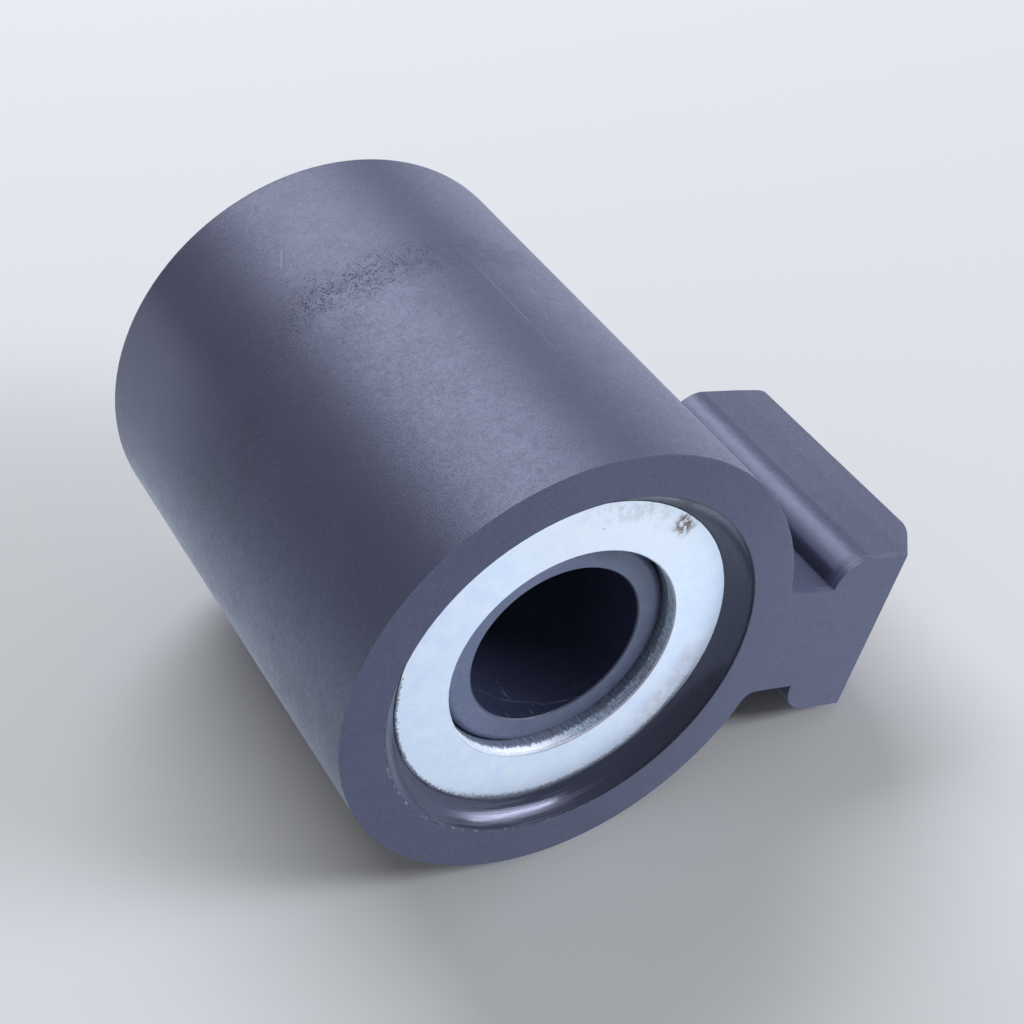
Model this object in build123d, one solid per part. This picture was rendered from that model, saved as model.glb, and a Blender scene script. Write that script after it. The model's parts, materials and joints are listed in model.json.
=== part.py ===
from build123d import *
from math import asin, atan2, degrees, hypot
import os

# Encapsulated coil of a cartridge solenoid valve, in millimetres.
# Each piece is drawn in the coil's own axes: the bore runs along Z from the near face at zero,
# and the plug connector stands out along X. The finished pieces are then laid down together,
# so that the bore runs along Y and the coil rests on its side and on the connector's corner.

# Outside of the moulding
BODY_DIAMETER = 35.0
BODY_LENGTH = 39.6
BODY_EDGE_ROUND = 0.3

# Bore and end recesses
BORE_DIAMETER = 13.0
BORE_MOUTH_BREAK = 0.1
RECESS_DEPTH = 1.6
RECESS_RIM_DIAMETER = 28.5
RECESS_WALL_RADIUS = 3.4
WASHER_WINDOW_DIAMETER = 25.6

# Steel circuit: two washers inside the ends of a rolled tube
WASHER_THICKNESS = 2.5
WASHER_HOLE_DIAMETER = 17.5
WASHER_EDGE_BREAK = 0.1
YOKE_COVER = 1.9
YOKE_WALL = 1.6
YOKE_SLOT_MARGIN = 1.0
YOKE_SEAM = 0.4

# Bobbin
COLLAR_SETBACK = 1.15
COLLAR_GAP = 0.12
COLLAR_SHOULDER = 0.65
FLANGE_THICKNESS = 1.4
BOBBIN_TUBE_WALL = 1.1
FLANGE_FIT = 0.1

# Winding
WIRE_DIAMETER = 0.5
WINDING_HEADROOM = 0.4
TAPE_THICKNESS = 0.25
SLEEVE_WALL = 0.15
LEAD_OFFSET = 1.5

# Connector block on the side of the body
CONNECTOR_REACH = 30.25
CONNECTOR_LENGTH = 22.1
NECK_WIDTH = 8.9
NECK_ROOT_ROUND = 1.1
HEAD_WIDTH = 14.0
HEAD_THICKNESS = 9.1
HEAD_SHOULDER_ROUND = 2.5
HEAD_EDGE_ROUND = 0.5
HEAD_FAR_ROUND = 1.0
HEAD_CHAMFER_RUN = 3.2
HEAD_CHAMFER_DEPTH = 3.7
HEAD_CHAMFER_BLEND = 5.0
HEAD_LIP_DRAFT = 0.1

# Plug socket in the connector's outer face
SOCKET_SIDE_WALL = 1.8
SOCKET_FAR_WALL = 1.6
SOCKET_START = 6.4
SOCKET_DEPTH = 7.95
SOCKET_CORNER_ROUND = 0.9
SOCKET_LEAD_IN = 0.4

# Terminals and their carrier
BLADE_WIDTH = 6.3
BLADE_THICKNESS = 0.8
BLADE_PITCH = 6.4
BLADE_RECESS = 1.6
BLADE_TIP_CHAMFER = 1.0
BLADE_HOLE_DIAMETER = 1.7
SHANK_WIDTH = 4.0
TAIL_WIDTH = 1.2
TAIL_LENGTH = 1.9
CARRIER_WIDTH = 6.8
CARRIER_POCKET_WIDTH = 5.0
CARRIER_END_WALL = 1.2
SOLDER_DIAMETER = 2.0

# Clearances between pieces that are moulded round or pushed into one another
MOULD_FIT = 0.03
SLIP_FIT = 0.05

# Lengths closer than this count as equal, and cutting forms run past a surface by the overrun
SAME = 0.01
OVERRUN = 1.0

# Sizes that follow from those above
BODY_RADIUS = BODY_DIAMETER / 2
BORE_RADIUS = BORE_DIAMETER / 2
HOLE_RADIUS = WASHER_HOLE_DIAMETER / 2
YOKE_OUTER_RADIUS = BODY_RADIUS - YOKE_COVER
YOKE_INNER_RADIUS = YOKE_OUTER_RADIUS - YOKE_WALL
FLANGE_RADIUS = YOKE_INNER_RADIUS - FLANGE_FIT
TUBE_RADIUS = BORE_RADIUS + BOBBIN_TUBE_WALL
COLLAR_RADIUS = HOLE_RADIUS - COLLAR_GAP
TAPE_RADIUS = YOKE_INNER_RADIUS - WINDING_HEADROOM
WINDING_RADIUS = TAPE_RADIUS - TAPE_THICKNESS
NEAR_WASHER_BACK = RECESS_DEPTH + WASHER_THICKNESS
WINDING_START = NEAR_WASHER_BACK + FLANGE_THICKNESS
WINDING_END = BODY_LENGTH - WINDING_START
HEAD_INNER_FACE = CONNECTOR_REACH - HEAD_THICKNESS
HEAD_LIP_START = CONNECTOR_REACH - HEAD_CHAMFER_RUN
HEAD_LIP_SLOPE = HEAD_LIP_DRAFT / HEAD_CHAMFER_RUN
SOCKET_FLOOR = CONNECTOR_REACH - SOCKET_DEPTH
SOCKET_WIDTH = HEAD_WIDTH - 2 * SOCKET_SIDE_WALL
SOCKET_END = CONNECTOR_LENGTH - SOCKET_FAR_WALL
BLADE_CENTRE = (SOCKET_START + SOCKET_END) / 2
BLADE_PLACES = (BLADE_CENTRE - BLADE_PITCH / 2, BLADE_CENTRE + BLADE_PITCH / 2)
BLADE_TIP = CONNECTOR_REACH - BLADE_RECESS
CARRIER_END = SOCKET_END - SLIP_FIT
YOKE_SLOT_WIDTH = CARRIER_WIDTH + 2 * YOKE_SLOT_MARGIN
YOKE_SLOT_END = CARRIER_END + YOKE_SLOT_MARGIN
POCKET_START = WINDING_START + CARRIER_END_WALL
POCKET_END = CARRIER_END - CARRIER_END_WALL
POCKET_ROOF = TAPE_RADIUS + WIRE_DIAMETER + TAIL_LENGTH
SLEEVE_RADIUS = WIRE_DIAMETER / 2 + SLEEVE_WALL
GROOVE_WIDTH = 2 * (SLEEVE_RADIUS + SLIP_FIT)
LEAD_PATH_RADIUS = TAPE_RADIUS + GROOVE_WIDTH / 2
LEAD_BEND = WIRE_DIAMETER
TAIL_END = TAPE_RADIUS + WIRE_DIAMETER
JOINT_REACH = TAPE_RADIUS + SLIP_FIT + SOLDER_DIAMETER / 2
FINISH_LEAD_PLACE = BLADE_CENTRE

# The coil lies on its round side and on the lower outer edge of the connector head
CORNER_REACH = CONNECTOR_REACH - HEAD_EDGE_ROUND
CORNER_INSET = HEAD_EDGE_ROUND * (hypot(1, HEAD_LIP_SLOPE) - HEAD_LIP_SLOPE)
CORNER_DROP = HEAD_WIDTH / 2 - HEAD_LIP_DRAFT - CORNER_INSET
CORNER_LEAN = asin((BODY_RADIUS - HEAD_EDGE_ROUND) / hypot(CORNER_REACH, CORNER_DROP))
REST_TILT = degrees(CORNER_LEAN - atan2(CORNER_DROP, CORNER_REACH))


def rod(radius, start, end):
    """A solid cylinder about the bore axis between two depths."""
    return Pos(0, 0, start) * extrude(Circle(radius), end - start)


def ring(outer, inner, start, end):
    """A plain tube about the bore axis between two depths."""
    face = Circle(outer) - Circle(inner)
    return Pos(0, 0, start) * extrude(face, end - start)


def block(x_from, x_to, width, z_from, z_to):
    """A box centred across the connector, between two reaches and two depths."""
    face = Pos((x_from + x_to) / 2, 0) * Rectangle(x_to - x_from, width)
    return Pos(0, 0, z_from) * extrude(face, z_to - z_from)


def turned(outline):
    """A closed outline of radius and depth, turned about the bore axis."""
    return revolve(make_face(Plane.XZ * outline), Axis.Z)


def round_edges(solid):
    """The circular edges of a solid."""
    return solid.edges().filter_by(GeomType.CIRCLE)


def mirrored_end(solid):
    """The same piece at the far end of the coil."""
    return Pos(0, 0, BODY_LENGTH) * mirror(solid, Plane.XY)


def recess_cutter():
    """The dished recess that leaves the washer in view at the near face."""
    rim = (RECESS_RIM_DIAMETER / 2, 0)
    foot = (WASHER_WINDOW_DIAMETER / 2, RECESS_DEPTH)
    outline = [
        Line((0, 0), rim),
        RadiusArc(rim, foot, -RECESS_WALL_RADIUS),
        Line(foot, (0, RECESS_DEPTH)),
        Line((0, RECESS_DEPTH), (0, 0)),
    ]
    return turned(Curve() + outline)


def head_outline():
    """The head seen along the bore: parallel sides, then the tapered lip round the socket's mouth."""
    side = HEAD_WIDTH / 2
    half = [(HEAD_INNER_FACE, side), (HEAD_LIP_START, side), (CONNECTOR_REACH, side - HEAD_LIP_DRAFT)]
    other_half = [(x, -y) for x, y in reversed(half)]
    return make_face(Polyline(*half, *other_half, close=True))


def connector_profile():
    """Neck and T-shaped head seen along the bore, joined to the round body."""
    neck_end = HEAD_INNER_FACE + HEAD_SHOULDER_ROUND
    neck = Pos(neck_end / 2, 0) * Rectangle(neck_end, NECK_WIDTH)
    root = Circle(BODY_RADIUS) + neck
    on_neck = [v for v in root.vertices() if abs(abs(v.Y) - NECK_WIDTH / 2) < SAME]
    roots = [v for v in on_neck if v.X < HEAD_INNER_FACE]
    root = fillet(roots, NECK_ROOT_ROUND)
    head = head_outline()
    inner_corners = head.vertices().group_by(Axis.X)[0]
    head = fillet(inner_corners, HEAD_SHOULDER_ROUND)
    outer_corners = head.vertices().group_by(Axis.X)[-1]
    head = fillet(outer_corners, HEAD_EDGE_ROUND)
    return root + head


def connector_plan():
    """The connector seen from above the head. Its near corner is cut back across the lip."""
    outline = Polyline(
        (-BODY_RADIUS, 0),
        (HEAD_LIP_START, 0),
        (CONNECTOR_REACH, HEAD_CHAMFER_DEPTH),
        (CONNECTOR_REACH, CONNECTOR_LENGTH),
        (-BODY_RADIUS, CONNECTOR_LENGTH),
        close=True,
    )
    plan = make_face(outline)
    far_tip = max(plan.vertices(), key=lambda v: v.X + v.Y)
    plan = fillet(far_tip, HEAD_FAR_ROUND)
    near_tip = min(plan.vertices().group_by(Axis.X)[-1], key=lambda v: v.Y)
    return fillet(near_tip, HEAD_CHAMFER_BLEND)


def connector_form():
    """The solid connector block before its socket is cut."""
    along = extrude(connector_profile(), CONNECTOR_LENGTH)
    across = extrude(Plane.XZ * connector_plan(), BODY_RADIUS, both=True)
    return along & across


def socket_cutter():
    """The open plug socket, with a lead-in round its mouth."""
    middle = (SOCKET_START + SOCKET_END) / 2
    length = SOCKET_END - SOCKET_START
    floor = Plane(origin=(SOCKET_FLOOR, 0, middle), x_dir=(0, 1, 0), z_dir=(1, 0, 0))
    mouth = Plane(origin=(CONNECTOR_REACH, 0, middle), x_dir=(0, 1, 0), z_dir=(1, 0, 0))
    shaft_face = RectangleRounded(SOCKET_WIDTH, length, SOCKET_CORNER_ROUND)
    shaft = floor * extrude(shaft_face, SOCKET_DEPTH + OVERRUN)
    wide = 2 * SOCKET_LEAD_IN
    flare_corner = SOCKET_CORNER_ROUND + SOCKET_LEAD_IN
    flare_face = RectangleRounded(SOCKET_WIDTH + wide, length + wide, flare_corner)
    flare = mouth * extrude(flare_face, -SOCKET_LEAD_IN, taper=45)
    return shaft + flare


def yoke_sleeve(fit=0.0):
    """Rolled steel tube with an open seam, slotted from its near end for the terminals.

    With a fit it is grown on every side, to cut its own seat in the moulding.
    """
    far_end = BODY_LENGTH - RECESS_DEPTH
    tube = ring(YOKE_OUTER_RADIUS + fit, YOKE_INNER_RADIUS - fit, RECESS_DEPTH, far_end)
    slot_width = YOKE_SLOT_WIDTH - 2 * fit
    slot = block(BORE_RADIUS, BODY_RADIUS, slot_width, RECESS_DEPTH, YOKE_SLOT_END - fit)
    seam = block(-BODY_RADIUS, -BORE_RADIUS, YOKE_SEAM - 2 * fit, RECESS_DEPTH, far_end)
    return tube - slot - seam


def carrier_shape(fit=0.0):
    """Outer form of the terminal carrier, or of the passage it stands in."""
    width = CARRIER_WIDTH + 2 * fit
    return block(BORE_RADIUS, SOCKET_FLOOR, width, WINDING_START - fit, CARRIER_END + fit)


def overmould():
    """The black moulding: round body, recessed ends, connector block and plug socket."""
    body = rod(BODY_RADIUS, 0, BODY_LENGTH)
    shell = body + connector_form()
    far_rim = [e for e in round_edges(shell) if abs(e.center().Z - BODY_LENGTH) < SAME]
    shell = fillet(far_rim, BODY_EDGE_ROUND)
    recess = recess_cutter()
    shell = shell - recess - mirrored_end(recess)
    core = rod(YOKE_INNER_RADIUS, RECESS_DEPTH, BODY_LENGTH - RECESS_DEPTH)
    shell = shell - core - yoke_sleeve(MOULD_FIT) - carrier_shape(MOULD_FIT) - socket_cutter()
    return shell - lead_groove(SLIP_FIT)


def flux_washer():
    """Zinc plated end washer, with its punched hole and broken edges."""
    washer = ring(YOKE_INNER_RADIUS, HOLE_RADIUS, RECESS_DEPTH, NEAR_WASHER_BACK)
    hole_edges = [e for e in round_edges(washer) if e.radius < HOLE_RADIUS + SAME]
    return chamfer(hole_edges, WASHER_EDGE_BREAK)


def bobbin():
    """One-piece spool whose end collars stand inside the washer holes."""
    collar_face = RECESS_DEPTH + COLLAR_SETBACK
    half = [
        (BORE_RADIUS, collar_face),
        (COLLAR_RADIUS, collar_face),
        (COLLAR_RADIUS, NEAR_WASHER_BACK),
        (FLANGE_RADIUS, NEAR_WASHER_BACK),
        (FLANGE_RADIUS, WINDING_START),
        (TUBE_RADIUS, WINDING_START),
    ]
    other_half = [(r, BODY_LENGTH - z) for r, z in reversed(half)]
    spool = turned(Polyline(*half, *other_half, close=True))
    reach = BODY_LENGTH / 2 - collar_face
    rims = [e for e in round_edges(spool) if abs(e.center().Z - BODY_LENGTH / 2) > reach - SAME]
    shoulders = [e for e in rims if e.radius > COLLAR_RADIUS - SAME]
    spool = fillet(shoulders, COLLAR_SHOULDER)
    mouths = [e for e in round_edges(spool) if e.radius < BORE_RADIUS + SAME]
    spool = chamfer(mouths, BORE_MOUTH_BREAK)
    return spool - lead_groove()


def lead_groove(fit=0.0):
    """Groove up the inside of the near flange for the sleeved start of the winding."""
    width = GROOVE_WIDTH + 2 * fit
    top = LEAD_PATH_RADIUS + GROOVE_WIDTH / 2
    start = WINDING_START - GROOVE_WIDTH - fit
    return Pos(0, LEAD_OFFSET, 0) * block(TUBE_RADIUS, top, width, start, WINDING_START)


def winding():
    """The wound copper, shown as one solid block of turns."""
    return ring(WINDING_RADIUS, TUBE_RADIUS, WINDING_START, WINDING_END)


def winding_tape():
    """Insulating tape wrapped round the finished winding, with a hole where the wire leaves."""
    wrap = ring(TAPE_RADIUS, WINDING_RADIUS, WINDING_START, WINDING_END)
    hole = Plane(origin=(0, -LEAD_OFFSET, FINISH_LEAD_PLACE), z_dir=(1, 0, 0))
    return wrap - hole * extrude(Circle(WIRE_DIAMETER / 2 + SLIP_FIT), BODY_RADIUS)


def swept(points, bend, outer, inner=0):
    """Round wire or tube of the given radii along straight runs with rounded turns."""
    path = FilletPolyline(*points, radius=bend)
    section = Circle(outer)
    if inner:
        section = section - Circle(inner)
    return sweep(path.location_at(0) * section, path=path)


def start_lead_route():
    """From the innermost turns, up the flange groove, over the tape and into the pocket."""
    groove_depth = WINDING_START - GROOVE_WIDTH / 2
    return [
        (TUBE_RADIUS, LEAD_OFFSET, groove_depth),
        (LEAD_PATH_RADIUS, LEAD_OFFSET, groove_depth),
        (LEAD_PATH_RADIUS, LEAD_OFFSET, POCKET_START + GROOVE_WIDTH),
    ]


def start_lead():
    """Start of the winding, which ends beside the near blade's tail."""
    end = (JOINT_REACH, (TAIL_WIDTH + WIRE_DIAMETER) / 2, BLADE_PLACES[0])
    return swept(start_lead_route() + [end], LEAD_BEND, WIRE_DIAMETER / 2)


def finish_lead():
    """End of the winding, which leaves through the tape for the far blade's tail."""
    foot = (WINDING_RADIUS, -LEAD_OFFSET, FINISH_LEAD_PLACE)
    bend = (JOINT_REACH, -LEAD_OFFSET, FINISH_LEAD_PLACE)
    end = (JOINT_REACH, -(TAIL_WIDTH + WIRE_DIAMETER) / 2, BLADE_PLACES[1])
    return swept([foot, bend, end], LEAD_BEND, WIRE_DIAMETER / 2)


def start_lead_sleeve():
    """Insulating sleeve on the start lead, where it passes every layer of the winding."""
    return swept(start_lead_route(), LEAD_BEND, SLEEVE_RADIUS, WIRE_DIAMETER / 2 + MOULD_FIT)


def solder_joint(place, lead):
    """Bead of solder round one blade's tail and the end of its lead."""
    bead = Pos(JOINT_REACH, 0, place) * Sphere(SOLDER_DIAMETER / 2)
    return bead - terminal_blade(place) - lead


def terminal_carrier():
    """Moulded insert that holds both blades and closes the socket floor."""
    form = carrier_shape()
    saddle = rod(TAPE_RADIUS + SLIP_FIT, 0, BODY_LENGTH)
    pocket = block(BORE_RADIUS, POCKET_ROOF, CARRIER_POCKET_WIDTH, POCKET_START, POCKET_END)
    groove_top = LEAD_PATH_RADIUS + GROOVE_WIDTH / 2
    groove = Pos(0, LEAD_OFFSET, 0) * block(BORE_RADIUS, groove_top, GROOVE_WIDTH, 0, POCKET_START)
    carrier = form - saddle - pocket - groove
    reach = SLIP_FIT + BLADE_THICKNESS / 2
    slot_width = SHANK_WIDTH + 2 * SLIP_FIT
    for place in BLADE_PLACES:
        carrier = carrier - block(BORE_RADIUS, SOCKET_FLOOR, slot_width, place - reach, place + reach)
    return carrier


def blade_outline():
    """Flat blade seen face on: tab, shank through the carrier, and tail."""
    tab = BLADE_WIDTH / 2
    shank = SHANK_WIDTH / 2
    tail = TAIL_WIDTH / 2
    half = [
        (BLADE_TIP, tab - BLADE_TIP_CHAMFER),
        (BLADE_TIP - BLADE_TIP_CHAMFER, tab),
        (SOCKET_FLOOR, tab),
        (SOCKET_FLOOR, shank),
        (POCKET_ROOF, shank),
        (POCKET_ROOF, tail),
        (TAIL_END, tail),
    ]
    other_half = [(x, -y) for x, y in reversed(half)]
    return make_face(Polyline(*half, *other_half, close=True))


def terminal_blade(place):
    """One tinned brass blade, standing across the socket."""
    face = blade_outline() - Pos((SOCKET_FLOOR + BLADE_TIP) / 2, 0) * Circle(BLADE_HOLE_DIAMETER / 2)
    blade = Pos(0, 0, place - BLADE_THICKNESS / 2) * extrude(face, BLADE_THICKNESS)
    end_edges = [e for e in blade.edges() if abs(e.center().X - BLADE_TIP) < SAME]
    tip_edges = [e for e in end_edges if abs(e.center().Y) < SAME]
    return chamfer(tip_edges, BLADE_THICKNESS / 4)


PLACE = Rot(0, REST_TILT, 0) * Rot(-90, 0, 0) * Pos(0, 0, -BODY_LENGTH / 2)

os.makedirs("parts", exist_ok=True)
pieces = {
    "overmould_body": overmould(),
    "bobbin": bobbin(),
    "copper_winding": winding(),
    "winding_tape": winding_tape(),
    "winding_start_lead": start_lead(),
    "winding_finish_lead": finish_lead(),
    "start_lead_sleeve": start_lead_sleeve(),
    "solder_joint_front": solder_joint(BLADE_PLACES[0], start_lead()),
    "solder_joint_rear": solder_joint(BLADE_PLACES[1], finish_lead()),
    "front_flux_washer": flux_washer(),
    "rear_flux_washer": mirrored_end(flux_washer()),
    "yoke_sleeve": yoke_sleeve(),
    "terminal_carrier": terminal_carrier(),
    "terminal_blade_front": terminal_blade(BLADE_PLACES[0]),
    "terminal_blade_rear": terminal_blade(BLADE_PLACES[1]),
}
for name, piece in pieces.items():
    export_step(PLACE * piece, f"parts/{name}.step")
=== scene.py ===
import json
import math
import random

import bmesh
import bpy
from mathutils import Matrix, Vector


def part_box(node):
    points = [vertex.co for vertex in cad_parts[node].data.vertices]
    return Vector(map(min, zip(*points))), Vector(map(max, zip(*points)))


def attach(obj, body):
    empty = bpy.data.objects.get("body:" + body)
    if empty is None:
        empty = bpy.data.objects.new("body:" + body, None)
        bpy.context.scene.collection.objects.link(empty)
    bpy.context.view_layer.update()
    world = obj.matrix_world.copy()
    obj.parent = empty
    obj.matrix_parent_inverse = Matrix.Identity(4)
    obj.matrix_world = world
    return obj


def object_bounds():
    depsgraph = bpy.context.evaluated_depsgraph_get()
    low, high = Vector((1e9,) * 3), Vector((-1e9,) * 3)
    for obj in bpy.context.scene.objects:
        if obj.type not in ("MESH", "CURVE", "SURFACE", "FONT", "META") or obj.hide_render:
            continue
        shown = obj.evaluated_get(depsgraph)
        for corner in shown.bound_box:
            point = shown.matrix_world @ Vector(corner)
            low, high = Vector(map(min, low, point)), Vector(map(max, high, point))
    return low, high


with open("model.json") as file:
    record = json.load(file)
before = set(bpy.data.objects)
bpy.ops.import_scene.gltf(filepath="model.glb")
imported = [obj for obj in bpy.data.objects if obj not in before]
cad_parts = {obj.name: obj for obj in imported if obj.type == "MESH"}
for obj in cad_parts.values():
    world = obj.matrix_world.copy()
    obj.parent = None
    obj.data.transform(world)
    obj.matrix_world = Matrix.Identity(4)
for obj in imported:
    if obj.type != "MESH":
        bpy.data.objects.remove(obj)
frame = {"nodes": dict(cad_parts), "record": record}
cad_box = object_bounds()
nodes = frame["nodes"]
mounts = {m["name"]: m for m in frame["record"]["mounts"]}

# The coil's own axes: "along" points from the bore towards the plug connector, "across" is square
# to it, and the bore runs along +Y. Depth counts from the near face.
ALONG = Vector(mounts["plug_socket"]["axis"])
ACROSS = Vector((ALONG.z, 0, -ALONG.x))
BORE = Vector((0, 1, 0))
NEAR = mounts["near_face"]["pos_m"][1]
MM = 0.001
LENGTH = (cad_box[1].y - NEAR) / MM

# Radii in millimetres: the body, the rim of the recess, the moulding's window over the washer, the
# washer's hole and the bore. The near face's mount lies half way between the rim and the body.
BODY = -cad_box[0].z / MM
RIM = 2 * mounts["near_face"]["pos_m"][2] / MM - BODY
WINDOW = 12.8
HOLE = 8.75
TUBE = mounts["bore"]["dims"]["r_mm"]


def place(along, across, depth):
    """A point given in millimetres along the coil's own axes."""
    return ALONG * along * MM + ACROSS * across * MM + BORE * (NEAR + depth * MM)


def linked(name, data):
    obj = bpy.data.objects.new(name, data)
    bpy.context.collection.objects.link(obj)
    return obj


# shader helpers


class Shader:
    """A node material on one Principled shader, with positions in millimetres in the coil's axes."""

    def __init__(self, name, **sockets):
        self.mat = bpy.data.materials.new(name)
        self.mat.use_nodes = True
        self.tree = self.mat.node_tree
        self.out = self.tree.nodes["Principled BSDF"]
        self.normal = None
        self.cache = {}
        for key, value in sockets.items():
            self.put(key.replace("_", " "), value)

    def put(self, socket, value):
        target = self.out.inputs[socket]
        if isinstance(value, bpy.types.NodeSocket):
            self.tree.links.new(value, target)
        elif isinstance(value, tuple) and len(value) == 3:
            target.default_value = (*value, 1)
        else:
            target.default_value = value

    def add(self, kind, inputs=(), **settings):
        node = self.tree.nodes.new(kind)
        for key, value in settings.items():
            setattr(node, key, value)
        for key, value in dict(inputs).items():
            target = node.inputs[key]
            if isinstance(value, bpy.types.NodeSocket):
                self.tree.links.new(value, target)
            elif isinstance(value, tuple) and len(value) == 3 and len(target.default_value) == 4:
                target.default_value = (*value, 1)
            else:
                target.default_value = value
        return node

    def math(self, operation, a, b=0.0):
        return self.add("ShaderNodeMath", {0: a, 1: b}, operation=operation).outputs[0]

    def times(self, first, *others):
        for other in others:
            first = self.math("MULTIPLY", first, other)
        return first

    def plus(self, first, *others):
        for other in others:
            first = self.math("ADD", first, other)
        return first

    def most(self, first, *others):
        for other in others:
            first = self.math("MAXIMUM", first, other)
        return first

    def minus(self, a, b):
        return self.math("SUBTRACT", a, b)

    def step(self, x, low, high, at_low=0.0, at_high=1.0):
        """A smooth step from low to high, clamped outside it."""
        values = {"Value": x, 1: low, 2: high, 3: at_low, 4: at_high}
        return self.add("ShaderNodeMapRange", values, interpolation_type="SMOOTHSTEP").outputs[0]

    def band(self, x, centre, half, soft):
        """1 within half of the centre, falling to 0 over soft."""
        away = self.math("ABSOLUTE", self.minus(x, centre))
        return self.step(away, half, half + soft, 1.0, 0.0)

    def where(self):
        if "where" not in self.cache:
            spot = self.add("ShaderNodeTexCoord").outputs["Object"]
            values = {0: spot, "Scale": 1 / MM}
            scaled = self.add("ShaderNodeVectorMath", values, operation="SCALE")
            self.cache["where"] = scaled.outputs[0]
        return self.cache["where"]

    def axis(self, name):
        """along, across or depth in millimetres, or radius and angle round the bore."""
        if name in self.cache:
            return self.cache[name]
        if name == "radius":
            sides = [self.math("ABSOLUTE", self.axis(side)) for side in ("along", "across")]
            squares = [self.math("POWER", side, 2.0) for side in sides]
            value = self.math("SQRT", self.plus(*squares))
        elif name == "angle":
            turn = self.math("ARCTAN2", self.axis("across"), self.axis("along"))
            value = self.times(turn, 180 / math.pi)
        else:
            direction = {"along": ALONG, "across": ACROSS, "depth": BORE}[name]
            values = {0: self.where(), 1: direction}
            dot = self.add("ShaderNodeVectorMath", values, operation="DOT_PRODUCT")
            value = dot.outputs["Value"]
            if name == "depth":
                value = self.minus(value, NEAR / MM)
        self.cache[name] = value
        return value

    def triple(self, x, y, z):
        return self.add("ShaderNodeCombineXYZ", {0: x, 1: y, 2: z}).outputs[0]

    def noise(self, scale, detail=2.0, roughness=0.5, distortion=0.0, at=None):
        """Noise with about scale lumps per millimetre."""
        values = {"Vector": at or self.where(), "Scale": scale, "Detail": detail}
        values.update({"Roughness": roughness, "Distortion": distortion})
        return self.add("ShaderNodeTexNoise", values).outputs["Fac"]

    def dots(self, scale, size, share):
        """Round dots on scattered points, about scale of them per millimetre; size is in cells."""
        node = self.add("ShaderNodeTexVoronoi", {"Vector": self.where(), "Scale": scale})
        lot = self.add("ShaderNodeSeparateColor", {0: node.outputs["Color"]}).outputs[0]
        kept = self.math("LESS_THAN", lot, share)
        return self.times(kept, self.step(node.outputs["Distance"], size * 0.6, size, 1.0, 0.0))

    def blend(self, share, a, b):
        values = {"Factor": share, 6: a, 7: b}
        return self.add("ShaderNodeMix", values, data_type="RGBA").outputs[2]

    def layers(self, base, *layers):
        """Lays each colour over the base by its share, one after the other."""
        for share, colour in layers:
            base = self.blend(share, base, colour)
        return base

    def bump(self, height, distance, strength=1.0):
        """Adds relief: height 0 to 1 is distance millimetres."""
        values = {"Height": height, "Distance": distance * MM, "Strength": strength}
        if self.normal:
            values["Normal"] = self.normal
        self.normal = self.add("ShaderNodeBump", values).outputs[0]
        self.put("Normal", self.normal)


def paint(material, *names):
    for name in names:
        slots = nodes[name].material_slots
        for slot in slots:
            slot.material = material
        if not slots:
            nodes[name].data.materials.append(material)


# finishes


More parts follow.
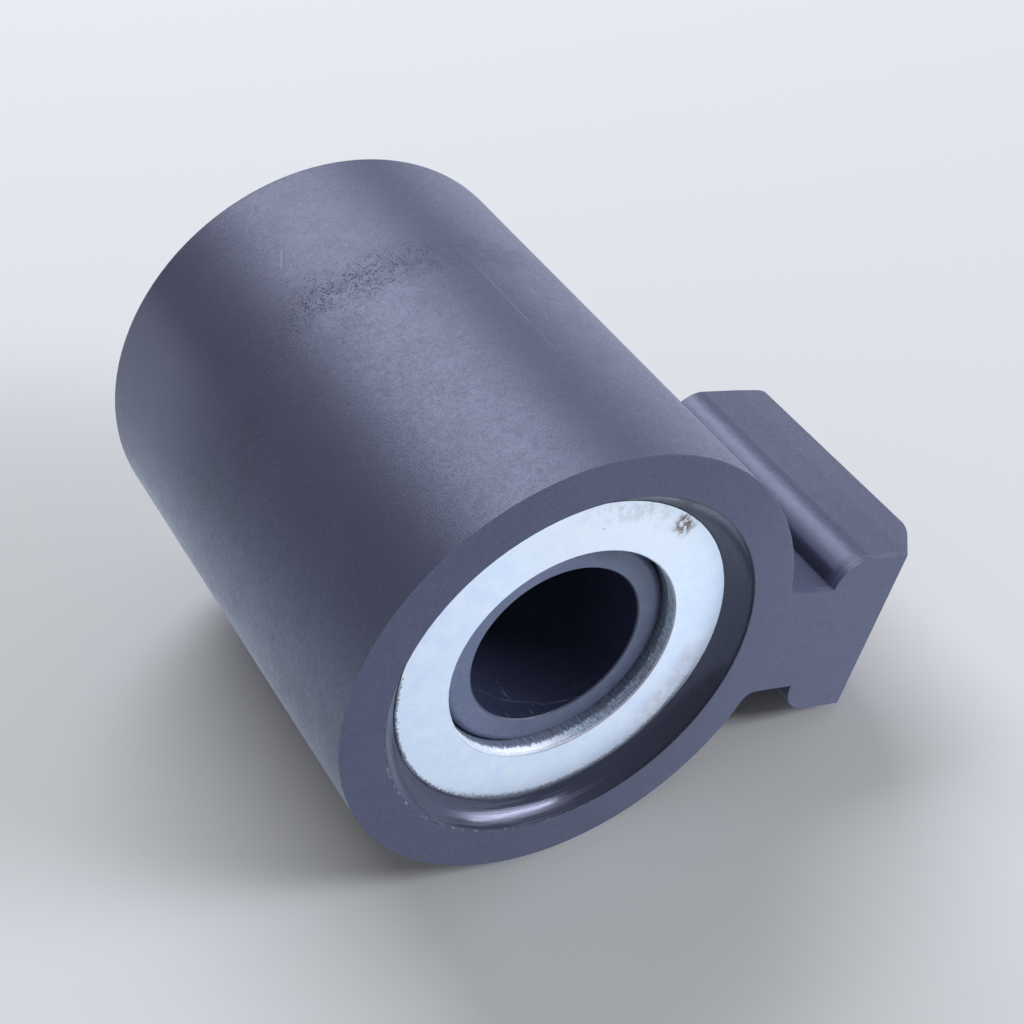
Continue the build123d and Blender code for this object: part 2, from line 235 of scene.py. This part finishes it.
def moulding():
    """Satin black moulding, polished in the recess, with a rubbed ring, pits and parting lines."""
    s = Shader("overmould", Specular_IOR_Level=0.74, Specular_Tint=(0.76, 0.79, 1.0))
    radius, angle, depth = s.axis("radius"), s.axis("angle"), s.axis("depth")
    along, across = s.axis("along"), s.axis("across")
    outside = s.step(radius, BODY - 0.3, BODY - 0.1)

    grain = s.noise(9.0, 2.0, 0.7)
    speckle = s.noise(14.0, 1.0, 0.5)
    clouds = s.noise(0.16, 3.0, 0.55)
    smears = s.noise(0.5, 3.0, 0.5, 0.3)
    mottle = s.noise(2.2, 4.0, 0.72)

    # the rubbed ring round the far half, where it lay against others in a box
    ring_depth, ring_middle = 25.4, -118.0
    wander = s.times(s.minus(s.noise(0.25, 2.0), 0.5), 3.0)
    bend = s.step(angle, -172.0, -138.0, 7.0, 0.0)
    track = s.plus(depth, s.plus(wander, bend))
    ring = s.times(s.band(track, ring_depth, 0.4, 2.6), outside)
    rubbed = s.times(ring, s.band(angle, ring_middle, 40.0, 30.0))
    rubbed = s.times(rubbed, s.step(s.noise(1.6, 4.0, 0.7), 0.4, 0.6))
    dense = s.times(ring, s.band(angle, ring_middle, 16.0, 14.0))
    stray = s.times(s.band(track, ring_depth - 1.0, 2.0, 6.0), outside)
    stray = s.times(stray, s.band(angle, -140.0, 14.0, 26.0))
    pits = s.dots(7.5, 0.4, s.times(dense, s.step(s.noise(0.8, 3.0), 0.34, 0.62, 0.0, 0.8)))
    chips = s.dots(5.0, 0.33, s.most(s.times(dense, 0.7), s.times(stray, 0.1)))
    pits = s.times(s.most(pits, chips), s.step(s.noise(3.0, 1.0), 0.3, 0.55, 0.4, 1.0))
    # glints: pale dots painted in as small highlights beside the pits
    glints = s.dots(5.0, 0.2, s.times(s.most(dense, stray), 0.24))

    # squirming pale rubs beside the parting line, and one short scuff
    squirm = s.band(s.noise(0.55, 2.0, 0.5, 2.5), 0.5, 0.004, 0.01)
    squirm = s.times(squirm, s.band(angle, -76.0, 8.0, 8.0), s.band(depth, 20.0, 3.0, 5.0))
    squirm = s.times(squirm, outside, s.step(s.noise(0.8, 2.0), 0.42, 0.56))
    scuff_angle, scuff_depth, scuff_slope = -129.2, 31.2, -1.65
    scuff = s.times(s.minus(depth, scuff_depth), scuff_slope)
    scuff = s.band(s.plus(scuff, s.minus(angle, scuff_angle)), 0.0, 0.1, 0.4)
    scuff = s.times(scuff, s.band(depth, scuff_depth, 0.6, 0.4), outside)

    # both recesses are polished, and torn pale along the rim
    from_end = s.math("MINIMUM", depth, s.minus(LENGTH, depth))
    recess = s.times(s.step(radius, RIM + 0.09, RIM + 0.03), s.step(from_end, 4.0, 3.6))
    matt = s.minus(1.0, recess)
    turned = s.triple(s.times(radius, 4.5), s.times(depth, 4.5), s.times(angle, 0.035))
    polish = s.noise(1.0, 3.0, 0.6, 0.2, turned)
    rim = s.times(s.band(radius, RIM + 0.03, 0.02, 0.08), s.band(angle, 118.0, 26.0, 40.0))
    rim = s.times(rim, s.step(s.noise(3.0, 3.0, 0.7), 0.5, 0.62))

    # on the near face, a painted shade line inside the rim and a painted highlight along the outer
    # edge
    rim_shade_line = s.times(s.band(radius, RIM - 0.05, 0.02, 0.06), s.band(angle, 22.0, 50.0, 34.0))
    rim_shade_line = s.times(rim_shade_line, s.step(depth, 0.6, 0.3))
    edge = s.times(s.band(radius, BODY - 0.04, 0.03, 0.06), s.step(depth, 0.08, 0.02))
    edge = s.times(edge, s.band(angle, -60.0, 30.0, 25.0), s.step(mottle, 0.4, 0.55, 0.2, 1.0))

    # the mould's parting line along the body, and the slide's line on the connector head
    parting_angle, shut_depth = -91.3, 0.38
    seam = s.times(s.band(angle, parting_angle, 0.1, 0.16), s.band(depth, 18.0, 4.5, 3.0), outside)
    shut = s.times(s.band(depth, shut_depth, 0.02, 0.07), s.step(along, 19.4, 19.9))
    shut = s.times(shut, s.step(across, 1.0, 0.0))
    lines = s.times(s.most(seam, shut), s.step(s.noise(0.6, 3.0), 0.36, 0.5, 0.3, 1.0))

    # painted light and shade on the connector head: a painted highlight on the shoulder's rounding,
    # painted shade in the corner at the neck, and painted light on the near face towards the
    # connector
    corner_along, corner_across, ridge_along, ridge_across = 21.2, -4.6, 21.85, -6.1
    painted_shoulder_highlight = s.times(s.band(across, ridge_across, 0.45, 0.5), s.band(along, ridge_along, 0.45, 0.4))
    painted_neck_shade = s.times(s.band(across, corner_across, 0.45, 0.8), s.band(along, corner_along, 0.1, 0.2))
    behind = s.step(depth, 0.6, 1.4)
    painted_shoulder_highlight, painted_neck_shade = s.times(painted_shoulder_highlight, behind), s.times(painted_neck_shade, behind)
    # painted light on the near face, paler towards the connector
    painted_face_light = s.times(s.step(along, 4.0, 18.0), s.step(depth, 0.4, 0.1))

    # painted sheen: a pale haze on the far end's flank, away from the connector; and loose specks
    flank = s.band(s.math("ABSOLUTE", angle), 180.0, 12.0, 15.0)
    haze = s.times(flank, outside, s.step(depth, 22.0, 34.0))
    haze = s.times(haze, s.step(mottle, 0.3, 0.6, 0.7, 1.0))
    dust = s.most(s.dots(0.42, 0.025, 0.6), s.times(s.most(scuff, squirm), 0.35))

    base = s.layers(
        s.blend(s.step(clouds, 0.3, 0.7), (0.049, 0.053, 0.098), (0.057, 0.062, 0.111)),
        (s.step(mottle, 0.4, 0.62, 0.0, 0.28), (0.03, 0.033, 0.062)),
        (s.step(grain, 0.35, 0.65, 0.0, 0.7), (0.072, 0.079, 0.134)),
        (s.step(speckle, 0.52, 0.68, 0.0, 0.7), (0.022, 0.025, 0.046)),
        (s.times(rubbed, 0.3), (0.035, 0.038, 0.062)),
        (s.times(pits, 0.92), (0.006, 0.007, 0.013)),
        # painted highlight on the shoulder's rounding, and painted light on the near face towards the
        # connector
        (s.most(s.times(painted_shoulder_highlight, 0.6), s.times(painted_face_light, 0.22)), (0.13, 0.14, 0.22)),
        # painted sheen on the far end's flank
        (s.times(haze, 0.75), (0.15, 0.155, 0.23)),
        # painted shade in the corner at the neck
        (s.times(painted_neck_shade, 0.75), (0.008, 0.01, 0.024)),
        (s.times(recess, 0.85), (0.018, 0.021, 0.04)),
        # painted shade line inside the rim
        (s.times(rim_shade_line, 0.8), (0.004, 0.005, 0.01)),
        # the parting lines, and the painted highlight along the near face's outer edge
        (s.times(s.most(lines, edge), 0.45), (0.15, 0.155, 0.2)),
        # dust, the torn rim and the painted glints
        (s.times(s.most(dust, glints, rim), 0.55), (0.4, 0.4, 0.44)),
    )
    s.put("Base Color", base)

    rough = s.step(smears, 0.25, 0.75, 0.42, 0.46)
    rough = s.plus(rough, s.times(rubbed, 0.07), s.step(speckle, 0.4, 0.7, -0.04, 0.06))
    rough = s.plus(rough, s.times(pits, 0.35), s.step(mottle, 0.35, 0.65, -0.035, 0.035))
    gloss = s.plus(s.step(polish, 0.35, 0.65, 0.16, 0.33), s.times(rim_shade_line, 0.4))
    s.put("Roughness", s.plus(s.times(rough, matt), s.times(gloss, recess)))

    s.bump(s.times(s.plus(grain, s.times(speckle, 0.6)), matt), 0.015, 0.9)
    s.bump(s.minus(1.0, pits), 0.022, 0.7)
    s.bump(lines, 0.012, 0.6)
    s.bump(s.times(polish, recess), 0.012, 0.6)
    return s.mat


def spool():
    """The bobbin's moulding: satin collar with painted light and shade, painted shade in the bore and
    at its mouth, a hair of flash and scratches.
    """
    s = Shader("bobbin_plastic", Specular_IOR_Level=0.8, Specular_Tint=(0.77, 0.84, 1.0))
    radius, angle, depth = s.axis("radius"), s.axis("angle"), s.axis("depth")
    inside = s.step(radius, TUBE + 0.14, TUBE + 0.06)
    mouth = s.band(radius, TUBE + 0.06, 0.04, 0.03)
    # painted shade on the collar's right side and painted light on its lower sides
    darker = s.times(s.band(angle, 20.0, 40.0, 50.0), 0.3)
    paler = s.step(s.math("ABSOLUTE", angle), 90.0, 130.0, 0.0, 0.3)

    # scratches and crumbs where the valve's tube was pushed in, and a slanting hair in the bore
    at = s.triple(s.times(angle, 0.12), s.times(depth, 0.15), s.times(radius, 0.8))
    entry = s.times(s.band(angle, 25.0, 25.0, 20.0), 0.6)
    entry = s.most(s.band(angle, 95.0, 8.0, 14.0), entry)
    scratch = s.times(s.step(s.noise(1.6, 4.0, 0.7, 1.5, at), 0.64, 0.67), entry)
    scratch = s.times(scratch, s.step(s.noise(0.8, 2.0), 0.4, 0.5))
    slant = s.plus(depth, s.times(s.minus(angle, 78.0), -0.049))
    slant = s.plus(slant, s.times(s.minus(s.noise(0.7, 3.0), 0.5), 0.9))
    hair = s.times(s.band(slant, 3.9, 0.012, 0.05), inside, s.band(angle, 80.0, 30.0, 12.0))
    hair = s.times(hair, s.step(s.noise(1.1, 2.0), 0.35, 0.5, 0.25, 1.0))
    crumbs = s.dots(3.0, 0.12, s.times(entry, 0.35))
    marks = s.most(s.times(scratch, 0.5), s.times(hair, 0.3), s.times(crumbs, 0.75))

    base = s.layers(
        s.blend(s.step(s.noise(0.6, 3.0), 0.3, 0.7), (0.086, 0.102, 0.168), (0.106, 0.124, 0.2)),
        # painted shade on the right and painted light below
        (darker, (0.03, 0.036, 0.07)),
        (paler, (0.17, 0.21, 0.33)),
        (s.step(s.noise(12.0, 1.0), 0.5, 0.7, 0.0, 0.5), (0.025, 0.03, 0.055)),
        # painted shade in the bore
        (inside, (0.026, 0.032, 0.064)),
        # painted shade over the bore's mouth, which is also made rougher
        (s.times(mouth, 0.5), (0.03, 0.035, 0.06)),
        (marks, (0.27, 0.28, 0.34)),
    )
    s.put("Base Color", base)
    rough = s.step(s.noise(1.3, 3.0), 0.25, 0.75, 0.28, 0.4)
    s.put("Roughness", s.plus(rough, s.times(mouth, 0.2)))
    s.bump(s.noise(8.0, 2.0, 0.6), 0.008, 0.7)
    s.bump(s.most(scratch, hair), 0.01, 0.7)
    return s.mat


def zinc():
    """Bright bluish zinc plate with rust spots, a dulled patch and a punched hole wall, with painted
    light on the wall's lower side.
    """
    s = Shader("zinc_steel")
    radius, angle, depth = s.axis("radius"), s.axis("angle"), s.axis("depth")
    wall = s.step(radius, HOLE + 0.12, HOLE + 0.06)
    front = s.step(depth, 3.0, 2.6)
    haze = s.noise(0.8, 5.0, 0.65, 0.4)
    fine = s.noise(5.0, 4.0, 0.75)
    warm = s.times(s.band(angle, -85.0, 25.0, 30.0), front)

    # the patch where the plating went dull, towards the connector
    dull = s.times(s.band(angle, 20.0, 10.0, 13.0), s.step(radius, 9.8, 11.4))
    dull = s.times(dull, s.step(s.noise(1.5, 5.0, 0.76), 0.34, 0.62))

    # a dark fringe over the outer edge, widest at the lower right: partly a thin torn film of
    # plastic, partly painted shade from the recess wall
    ragged = s.plus(radius, s.times(s.minus(s.noise(4.0, 4.0, 0.75), 0.5), 0.8))
    wide = s.times(s.band(angle, 64.0, 34.0, 30.0), s.step(ragged, 12.15, 12.6))
    narrow = s.times(s.band(angle, 100.0, 70.0, 20.0), s.step(ragged, 12.5, 12.66))
    film = s.times(s.most(wide, narrow), front)

    # rust where the plating is thin: one cluster at the rim, fainter ones beside it
    spots = s.step(s.noise(3.6, 5.0, 0.8), 0.44, 0.53)
    cluster = s.times(s.band(angle, -60.2, 1.8, 4.2), s.band(radius, 12.05, 0.3, 0.8))
    faint = s.times(s.band(angle, -84.0, 10.0, 14.0), s.band(radius, 12.0, 0.3, 1.0))
    faint = s.times(faint, s.step(s.noise(1.3, 5.0, 0.7), 0.42, 0.66))
    rust = s.most(s.times(spots, cluster), s.times(faint, 0.3))
    rust = s.times(s.most(rust, s.times(s.dots(0.62, 0.06, 0.3), 0.6)), front)

    # the punch burnishes the hole wall near the face and tears it, in streaks, further in
    streaks = s.triple(s.times(angle, 0.7), s.times(depth, 0.35), 0.0)
    streaks = s.noise(1.0, 4.0, 0.7, 0.0, streaks)
    hairs = s.triple(s.times(angle, 1.5), s.times(depth, 1.8), 0.0)
    hairs = s.noise(1.0, 3.0, 0.75, 0.0, hairs)
    frost = s.times(s.plus(s.noise(7.0, 4.0, 0.75), hairs), 0.5)
    torn = s.times(wall, s.step(s.plus(depth, s.times(streaks, 1.4)), 3.04, 3.22))
    # painted light: the hole wall is paler on its lower side, where the lamps fall on it, with more
    # frost and roll
    painted_wall_light = s.times(wall, s.band(angle, 114.0, 30.0, 36.0))
    score = s.plus(depth, s.times(hairs, 0.16))
    score = s.most(s.band(score, 1.93, 0.008, 0.03), s.band(score, 2.2, 0.006, 0.03))
    bright = s.blend(s.step(frost, 0.42, 0.58), (0.17, 0.26, 0.44), (0.72, 0.86, 1.0))
    bright = s.blend(s.times(painted_wall_light, 0.55), bright, (0.94, 0.98, 1.0))
    bright = s.blend(s.times(score, 0.4), bright, (0.2, 0.24, 0.34))
    rent = s.blend(s.step(streaks, 0.35, 0.65), (0.07, 0.09, 0.15), (0.26, 0.33, 0.46))
    stain = s.times(wall, s.step(s.noise(0.7, 4.0, 0.6), 0.56, 0.66))
    edge = s.times(s.band(radius, HOLE + 0.08, 0.04, 0.03), s.band(angle, 20.0, 50.0, 30.0))

    base = s.layers(
        s.blend(s.step(haze, 0.3, 0.7), (0.78, 0.87, 1.0), (0.87, 0.94, 1.0)),
        (s.times(warm, 0.5), (0.86, 0.88, 0.86)),
        (s.times(dull, 0.62), (0.6, 0.59, 0.64)),
        (s.step(fine, 0.56, 0.74, 0.0, 0.3), (0.5, 0.55, 0.66)),
        # torn film and painted shade at the outer edge
        (s.times(film, 0.88), (0.045, 0.056, 0.09)),
        (s.times(rust, 0.85), (0.16, 0.095, 0.075)),
        (s.times(wall, 0.9), bright),
        (s.times(torn, 0.92), rent),
        (s.times(stain, 0.3), (0.3, 0.2, 0.16)),
        (s.times(edge, 0.6), (0.34, 0.26, 0.27)),
    )
    s.put("Base Color", base)

    bare = s.minus(s.times(wall, 0.75), s.times(painted_wall_light, 0.15))
    bare = s.most(bare, s.times(s.most(film, s.times(dull, 0.5)), 0.6))
    s.put("Metallic", s.minus(s.step(rust, 0.1, 0.9, 0.8, 0.2), bare))
    rough = s.step(haze, 0.2, 0.8, 0.32, 0.4)
    rough = s.plus(rough, s.times(s.most(rust, s.times(dull, 0.6)), 0.3))
    s.put("Roughness", s.plus(rough, s.times(wall, 0.1)))

    s.bump(s.times(fine, s.minus(1.0, wall)), 0.014, 0.8)
    s.bump(s.times(frost, s.plus(s.times(wall, 0.5), s.times(painted_wall_light, 0.5))), 0.05, 0.8)
    roll = s.times(s.step(depth, 1.5, 2.6), s.plus(s.times(wall, 0.3), s.times(painted_wall_light, 0.7)))
    s.bump(roll, 0.6, 1.0)
    s.bump(s.times(streaks, torn), 0.1, 0.9)
    s.bump(s.minus(1.0, rust), 0.015, 0.8)
    return s.mat


def steel():
    """Bare drawn steel of the yoke, with lines along the draw."""
    s = Shader("yoke_steel", Metallic=1.0)
    drawn = s.triple(s.times(s.axis("angle"), 0.5), s.times(s.axis("depth"), 0.06), 0.0)
    drawn = s.noise(1.0, 3.0, 0.6, 0.0, drawn)
    s.put("Base Color", s.blend(drawn, (0.3, 0.31, 0.33), (0.5, 0.51, 0.53)))
    s.put("Roughness", s.step(drawn, 0.2, 0.8, 0.3, 0.5))
    s.bump(drawn, 0.01, 0.7)
    return s.mat


def wire():
    """Enamelled copper wire, wound turn beside turn."""
    s = Shader("enamelled_copper", Metallic=1.0, Coat_Weight=0.6, Coat_Roughness=0.12)
    pitch = 0.5
    turns = s.math("SINE", s.times(s.axis("depth"), 2 * math.pi / pitch))
    s.put("Base Color", s.blend(s.noise(0.9, 3.0), (0.5, 0.17, 0.07), (0.72, 0.3, 0.13)))
    s.put("Roughness", s.step(s.noise(2.0, 2.0), 0.2, 0.8, 0.25, 0.4))
    s.bump(s.step(turns, -1.0, 1.0), 0.12, 0.9)
    return s.mat


def tape():
    """Yellow polyester film tape, lapped, with wrinkles."""
    s = Shader("polyester_tape", Roughness=0.3, Coat_Weight=0.3)
    laps = s.math("FRACT", s.times(s.axis("depth"), 0.11))
    shade = s.noise(0.5, 4.0, 0.6, 1.2)
    s.put("Base Color", s.blend(shade, (0.62, 0.42, 0.05), (0.82, 0.62, 0.1)))
    s.put("Roughness", s.step(shade, 0.2, 0.8, 0.22, 0.4))
    s.bump(s.step(laps, 0.0, 0.05), 0.06, 0.9)
    s.bump(shade, 0.05, 0.7)
    return s.mat


def sleeving():
    """Pale woven sleeving on the lead."""
    s = Shader("lead_sleeving", Roughness=0.7)
    weave = s.times(*(s.math("SINE", s.times(s.axis(side), 18.0)) for side in ("along", "across")))
    s.put("Base Color", s.blend(s.noise(1.2, 3.0), (0.66, 0.62, 0.5), (0.8, 0.77, 0.66)))
    s.put("Roughness", s.step(weave, -1.0, 1.0, 0.6, 0.8))
    s.bump(s.step(weave, -1.0, 1.0), 0.05, 0.8)
    return s.mat


def tin():
    """Tin plated brass blades, with rolling lines along them."""
    s = Shader("tinned_brass", Metallic=1.0)
    rolled = s.triple(s.times(s.axis("along"), 0.25), s.times(s.axis("across"), 5.0), s.axis("depth"))
    rolled = s.noise(1.0, 3.0, 0.6, 0.0, rolled)
    s.put("Base Color", s.blend(rolled, (0.58, 0.57, 0.54), (0.78, 0.77, 0.73)))
    s.put("Roughness", s.step(rolled, 0.2, 0.8, 0.2, 0.38))
    s.bump(rolled, 0.01, 0.7)
    return s.mat


def solder():
    """Dull solder with a slightly pitted skin."""
    s = Shader("solder", Metallic=1.0)
    skin = s.noise(2.2, 4.0, 0.6)
    s.put("Base Color", s.blend(skin, (0.42, 0.43, 0.45), (0.66, 0.67, 0.7)))
    s.put("Roughness", s.step(skin, 0.2, 0.8, 0.28, 0.5))
    s.bump(skin, 0.05, 0.8)
    return s.mat


def carrier():
    """The matt insert that holds the blades."""
    s = Shader("carrier_plastic", Roughness=0.6)
    s.put("Base Color", s.blend(s.noise(0.7, 4.0), (0.03, 0.032, 0.045), (0.048, 0.05, 0.066)))
    s.put("Roughness", s.step(s.noise(2.0, 3.0), 0.25, 0.75, 0.5, 0.68))
    s.bump(s.noise(7.0, 3.0, 0.6), 0.012, 0.8)
    return s.mat


def flash_plastic():
    """Thin moulding flash: paler where it is stretched."""
    s = Shader("moulding_flash", Specular_IOR_Level=0.6, Specular_Tint=(0.77, 0.82, 1.0))
    stretched = s.step(s.noise(2.5, 3.0), 0.4, 0.7)
    s.put("Base Color", s.blend(stretched, (0.02, 0.022, 0.035), (0.05, 0.055, 0.08)))
    s.put("Roughness", s.step(s.noise(3.0, 2.0), 0.3, 0.7, 0.35, 0.55))
    s.bump(s.noise(8.0, 3.0), 0.01, 0.8)
    return s.mat


def pale_burr():
    """Torn plastic, whitened."""
    s = Shader("whitened_burr", Roughness=0.6)
    s.put("Base Color", s.blend(s.noise(3.0, 2.0), (0.1, 0.105, 0.14), (0.3, 0.3, 0.34)))
    return s.mat


paint(moulding(), "overmould_body")
paint(spool(), "bobbin")
paint(zinc(), "front_flux_washer", "rear_flux_washer")
paint(steel(), "yoke_sleeve")
paint(wire(), "copper_winding", "winding_start_lead", "winding_finish_lead")
paint(tape(), "winding_tape")
paint(sleeving(), "start_lead_sleeve")
paint(tin(), "terminal_blade_front", "terminal_blade_rear")
paint(solder(), "solder_joint_front", "solder_joint_rear")
paint(carrier(), "terminal_carrier")

# flash and burrs


def piece(name, verts, faces, material, smooth=True):
    mesh = bpy.data.meshes.new(name)
    mesh.from_pydata(verts, [], faces)
    mesh.materials.append(material)
    for polygon in mesh.polygons:
        polygon.use_smooth = smooth
    bm = bmesh.new()
    bm.from_mesh(mesh)
    bmesh.ops.recalc_face_normals(bm, faces=bm.faces)
    bm.to_mesh(mesh)
    bm.free()
    obj = linked(name, mesh)
    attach(obj, "root")
    return obj


def washer_flash(name, face, material, seed, outward):
    """A feather edge of plastic that crept over the washer's face round its window."""
    rng = random.Random(seed)
    count, sides = 360, 4
    tuck, least, thick = 0.02, 0.02, 0.05
    swell, ripple, lean = 0.05, 0.03, 0.7
    lumps = []
    for k in range(1, 10):
        size = rng.uniform(0.6, 1.0) / k ** 0.55
        lumps.append((size, rng.randrange(2, 60), rng.uniform(0, 2 * math.pi)))
    verts, faces = [], []
    for i in range(count):
        turn = 2 * math.pi * i / count
        wave = sum(size * math.sin(order * turn + phase) for size, order, phase in lumps)
        lower = 0.5 - 0.5 * math.cos(turn + lean)
        reach = least + lower * max(0.0, swell + ripple * wave)
        outer, inner = WINDOW + tuck, WINDOW - reach
        middle = (outer + inner) / 2
        for radius, rise in ((outer, 0.0), (outer, thick), (middle, thick * 0.6), (inner, 0.0)):
            across = radius * math.sin(turn)
            verts.append(place(radius * math.cos(turn), across, face - outward * rise))
        base, after = sides * i, sides * ((i + 1) % count)
        for k in range(sides):
            beside = (k + 1) % sides
            faces.append((base + k, base + beside, after + beside, after + k))
    return piece(name, verts, faces, material)


def rim_burrs(name, rim, depth, material, seed):
    """Tiny torn slivers along the recess's rim, thickest at the lower side."""
    rng = random.Random(seed)
    slivers, lower_slivers = 90, 66
    lower_side, spread = 120, 22
    sides = ((0, 1, 2), (0, 1, 3), (1, 2, 3), (2, 0, 3))
    verts, faces = [], []
    for i in range(slivers):
        turn = rng.gauss(lower_side, spread) if i < lower_slivers else rng.uniform(-60, 60)
        angle = math.radians(turn)
        half = rng.uniform(0.04, 0.2) / rim / 2
        radius = rim - rng.uniform(0.0, 0.05)
        high = rng.uniform(0.02, 0.05)
        corners = (
            (angle - half, radius, depth),
            (angle + half, radius, depth + 0.02),
            (angle, radius - high, depth + 0.04),
            (angle + half * 0.2, radius - high * 0.4, depth - 0.03),
        )
        first = len(verts)
        verts += [place(r * math.cos(a), r * math.sin(a), d) for a, r, d in corners]
        faces += [tuple(first + k for k in side) for side in sides]
    return piece(name, verts, faces, material, smooth=False)


feather = flash_plastic()
near_washer, far_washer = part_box("front_flux_washer"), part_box("rear_flux_washer")
near_depth, far_depth = (near_washer[0].y - NEAR) / MM, (far_washer[1].y - NEAR) / MM
washer_flash("near_washer_flash", near_depth, feather, seed=4, outward=1)
washer_flash("far_washer_flash", far_depth, feather, seed=9, outward=-1)
rim_burrs("near_rim_burrs", RIM, 0.06, pale_burr(), seed=3)

# floor, light and camera


def floor():
    """A plain pale floor just under the coil, which glossy surfaces see lit."""
    s = Shader("pale_floor", Roughness=0.8, Specular_IOR_Level=0.1)
    path = s.add("ShaderNodeLightPath").outputs

    # seen directly it darkens with the distance, so that it never runs to white
    away = s.add("ShaderNodeVectorMath", {0: s.where()}, operation="LENGTH").outputs["Value"]
    seen = s.blend(s.step(away, 260.0, 800.0), (0.66, 0.67, 0.65), (0.25, 0.255, 0.25))
    s.put("Base Color", s.blend(path["Is Camera Ray"], (0.8, 0.81, 0.8), seen))

    # what glossy surfaces see: more glow to the right, to the left of the body and in a patch
    # behind its far left end, and little in the coil's own shade
    spot = s.add("ShaderNodeSeparateXYZ", {0: s.where()}).outputs
    x, y = spot["X"], spot["Y"]
    left = s.times(s.step(y, -14.0, 20.0, 0.0, 0.5), s.step(y, 48.0, 28.0), s.step(x, 5.0, -12.0))
    far = s.times(s.band(y, 36.0, 6.0, 8.0), s.band(x, -12.0, 6.0, 7.0), 0.4)
    level = s.plus(s.step(x, -10.0, 30.0, 0.86, 1.16), s.plus(left, far))
    under = s.times(s.band(x, 15.0, 11.0, 5.0), s.band(y, 0.0, 16.0, 5.0))
    level = s.times(level, s.step(under, 0.0, 1.0, 1.0, 0.15))
    glow = s.add("ShaderNodeEmission", {"Color": (0.76, 0.85, 1.0), "Strength": level}).outputs[0]
    values = {0: path["Is Glossy Ray"], 1: s.out.outputs[0], 2: glow}
    mixed = s.add("ShaderNodeMixShader", values).outputs[0]
    s.tree.links.new(mixed, s.tree.nodes["Material Output"].inputs["Surface"])

    half, gap = 3.0, 0.02 * MM
    z = cad_box[0].z - gap
    corners = [(-half, -half, z), (half, -half, z), (half, half, z), (-half, half, z)]
    mesh = bpy.data.meshes.new("floor")
    mesh.from_pydata(corners, [], [(0, 1, 2, 3)])
    mesh.materials.append(s.mat)
    obj = linked("floor", mesh)


def lamp(name, where, size, watts, roll=0.0):
    """A cool softbox that faces the coil, turned about its own axis by roll degrees."""
    data = bpy.data.lights.new(name, "AREA")
    data.shape = "RECTANGLE"
    data.size, data.size_y = size
    data.energy = watts
    data.color = (0.87, 0.89, 1.0)
    obj = linked(name, data)
    obj.location = where
    facing = (-Vector(where)).to_track_quat("-Z", "Y").to_matrix()
    obj.rotation_euler = (facing @ Matrix.Rotation(math.radians(roll), 3, "Z")).to_euler()


def studio():
    """A large softbox behind and above, one in front, a weak low one at the side, and a dim room."""
    lamp("softbox_back", where=(0.07, 0.38, 0.44), size=(0.46, 0.34), watts=3.2)
    lamp("softbox_front", where=(1.04, -0.76, 0.5), size=(1.12, 0.3), watts=17.5, roll=-45.0)
    lamp("softbox_side", where=(0.5, 0.42, 0.03), size=(0.3, 0.1), watts=0.19)
    room_glow = 0.28
    world = bpy.data.worlds.new("studio")
    world.use_nodes = True
    sky = world.node_tree.nodes["Background"]
    sky.inputs["Color"].default_value = (1, 1, 1, 1)
    sky.inputs["Strength"].default_value = room_glow
    bpy.context.scene.world = world


def camera():
    """The photograph's viewpoint, solved from the ellipses of the end circles."""
    azimuth, elevation, roll = map(math.radians, (-26.741, 43.113, -3.588))
    aim = Vector((4.328, -3.115, -0.891)) * MM
    distance = 145.32 * MM
    flat = math.cos(elevation)
    back = Vector((math.sin(azimuth) * flat, -math.cos(azimuth) * flat, math.sin(elevation)))
    data = bpy.data.cameras.new("camera")
    data.sensor_width, data.lens = 36.0, 69.89
    data.clip_start, data.clip_end = 0.01, 10
    obj = linked("camera", data)
    turn = (-back).to_track_quat("-Z", "Y").to_matrix() @ Matrix.Rotation(roll, 3, "Z")
    obj.matrix_world = Matrix.Translation(aim + back * distance) @ turn.to_4x4()
    bpy.context.scene.camera = obj


floor()
studio()
camera()
bpy.context.scene.view_settings.view_transform = "Standard"
